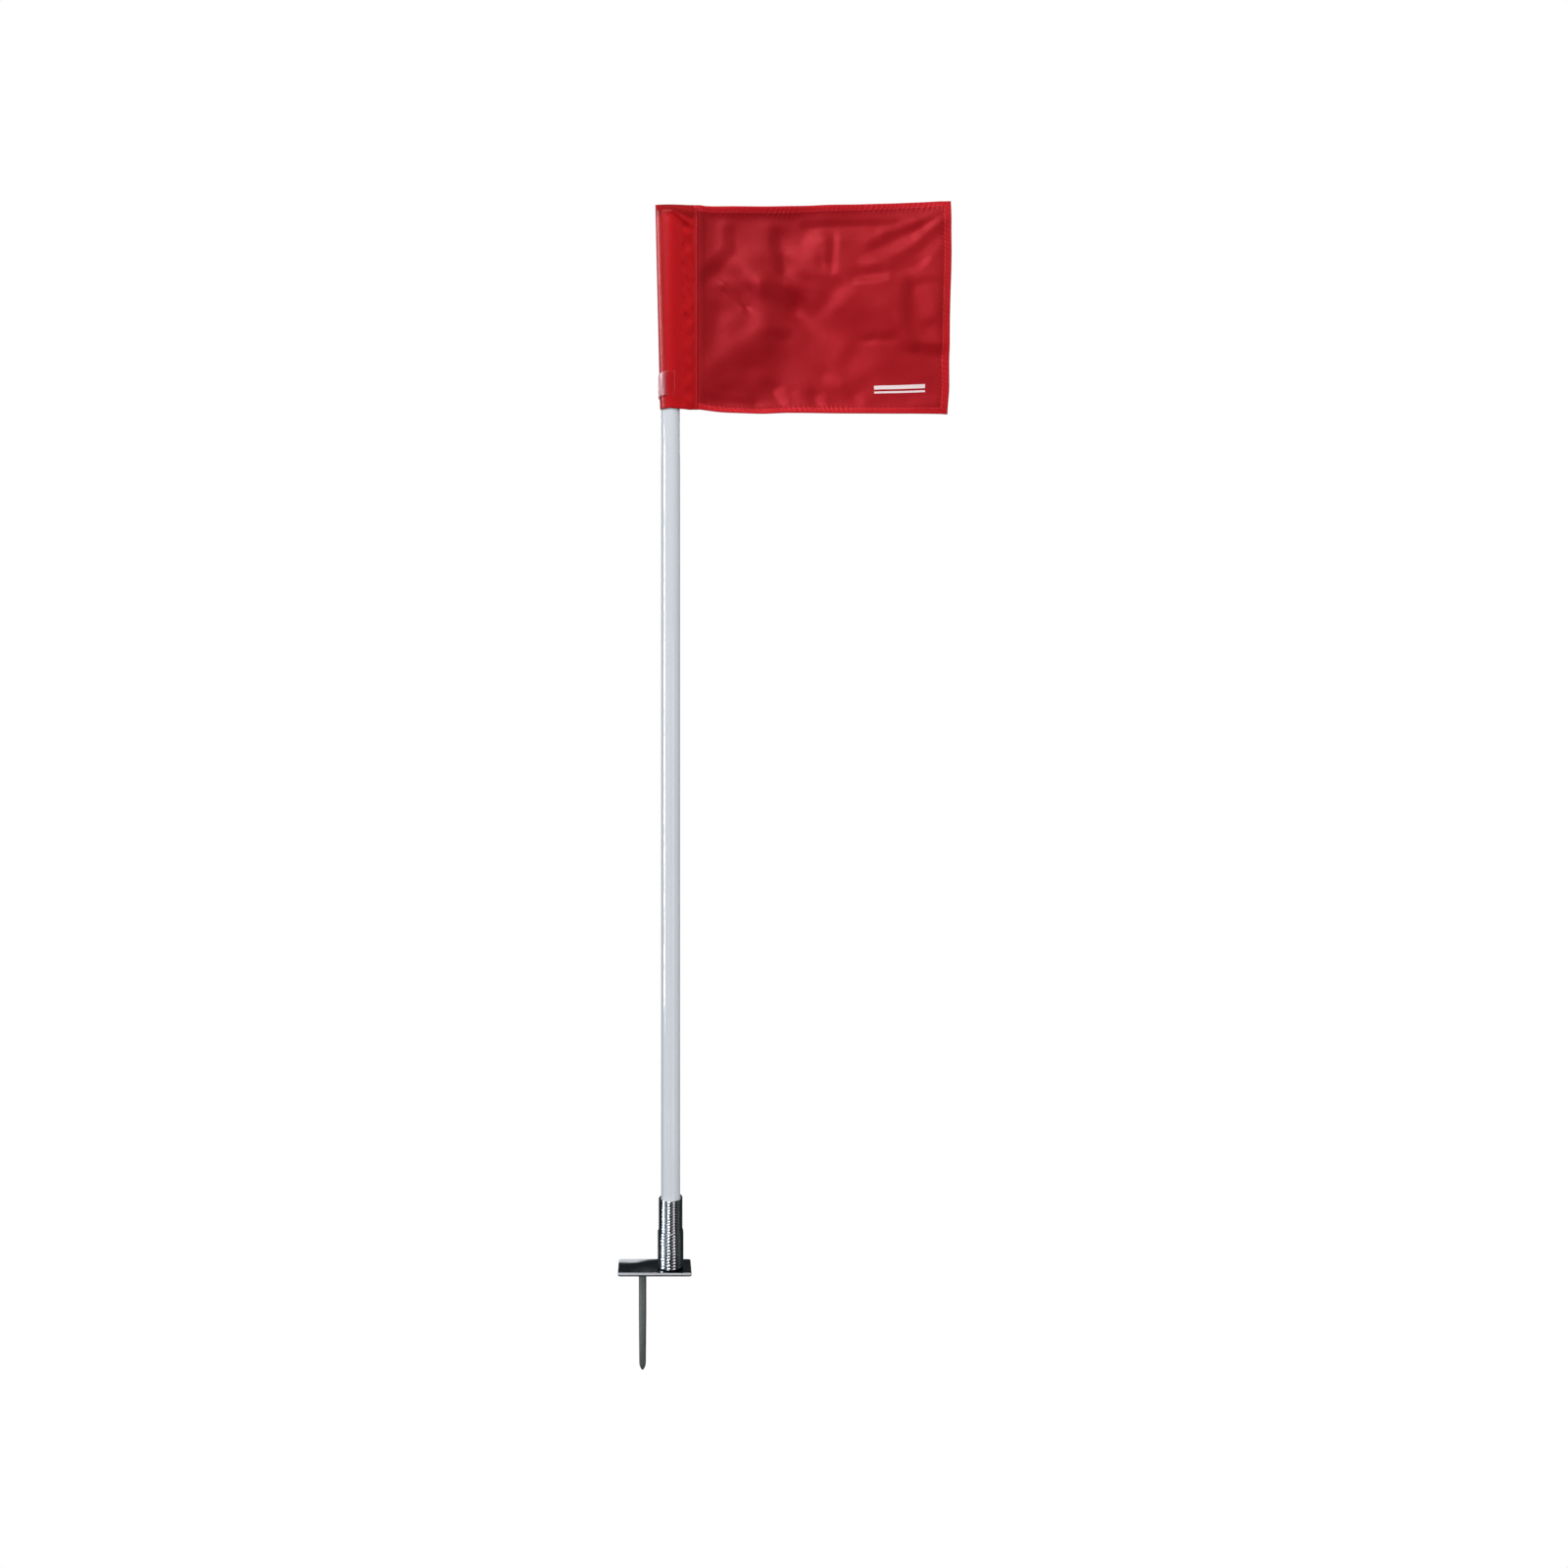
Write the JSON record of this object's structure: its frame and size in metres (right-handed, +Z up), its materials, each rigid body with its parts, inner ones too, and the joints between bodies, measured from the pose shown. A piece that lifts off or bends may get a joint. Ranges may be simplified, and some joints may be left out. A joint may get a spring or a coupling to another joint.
{
  "type": "golf flagstick",
  "caption": "Practice-green flagstick with a ground spike, foot plate, bending base spring, white tube pole and a red sleeve-hung flag held by a clear snap clip.",
  "frame": {"origin": "on the ground spike's axis at the underside of the foot plate", "axes": "+Z up along the pole and spike, +X from the spike towards the pole and the flag's fly edge, -Y towards the viewer"},
  "size_m": [0.436, 0.038, 1.543],
  "materials": {
    "plated_steel": "dark bright plating",
    "spike_steel": "dull grey zinc",
    "spring_chrome": "dark bright plating",
    "white_pvc": "satin to gloss extruded tube",
    "cap_plastic": "moulded",
    "red_cloth": "thin satin-weave polyester",
    "red_thread": "polyester thread",
    "clear_plastic": "clear glossy plastic"
  },
  "bodies": {
    "base": {"foot_plate": "plated_steel", "ground_spike": "spike_steel", "spring_stub": "plated_steel"},
    "spring": {"base_spring": "spring_chrome"},
    "pole": {"pole_tube": "white_pvc", "top_cap": "cap_plastic", "foot_plug": "cap_plastic"},
    "flag": {"flag_panel": "red_cloth", "flag_sleeve": "red_cloth", "sleeve_thread": "red_thread", "hem_thread": "red_thread"},
    "clip": {"flag_clip": "clear_plastic"}
  },
  "joints": [
    {"name": "spring_bend_side", "type": "hinge", "parent": "base", "child": "spring", "pos_m": [0.037, 0, 0.029], "axis": [0, 1, 0], "range_deg": [-45, 45], "stiffness_Nm_per_rad": 7, "deforming": ["base_spring"]},
    {"name": "spring_bend_front", "type": "hinge", "parent": "spring", "child": "pole", "pos_m": [0.037, 0, 0.06], "axis": [1, 0, 0], "range_deg": [-45, 45], "stiffness_Nm_per_rad": 7, "deforming": ["base_spring"]},
    {"name": "flag_swivel", "type": "hinge", "parent": "pole", "child": "flag", "pos_m": [0.037, 0, 1.272], "axis": [0, 0, 1], "continuous": true},
    {"name": "clip_pull", "type": "slide", "parent": "flag", "child": "clip", "axis": [-1, 0, 0], "range_m": [0, 0.045], "deforming": ["flag_clip"]}
  ]
}
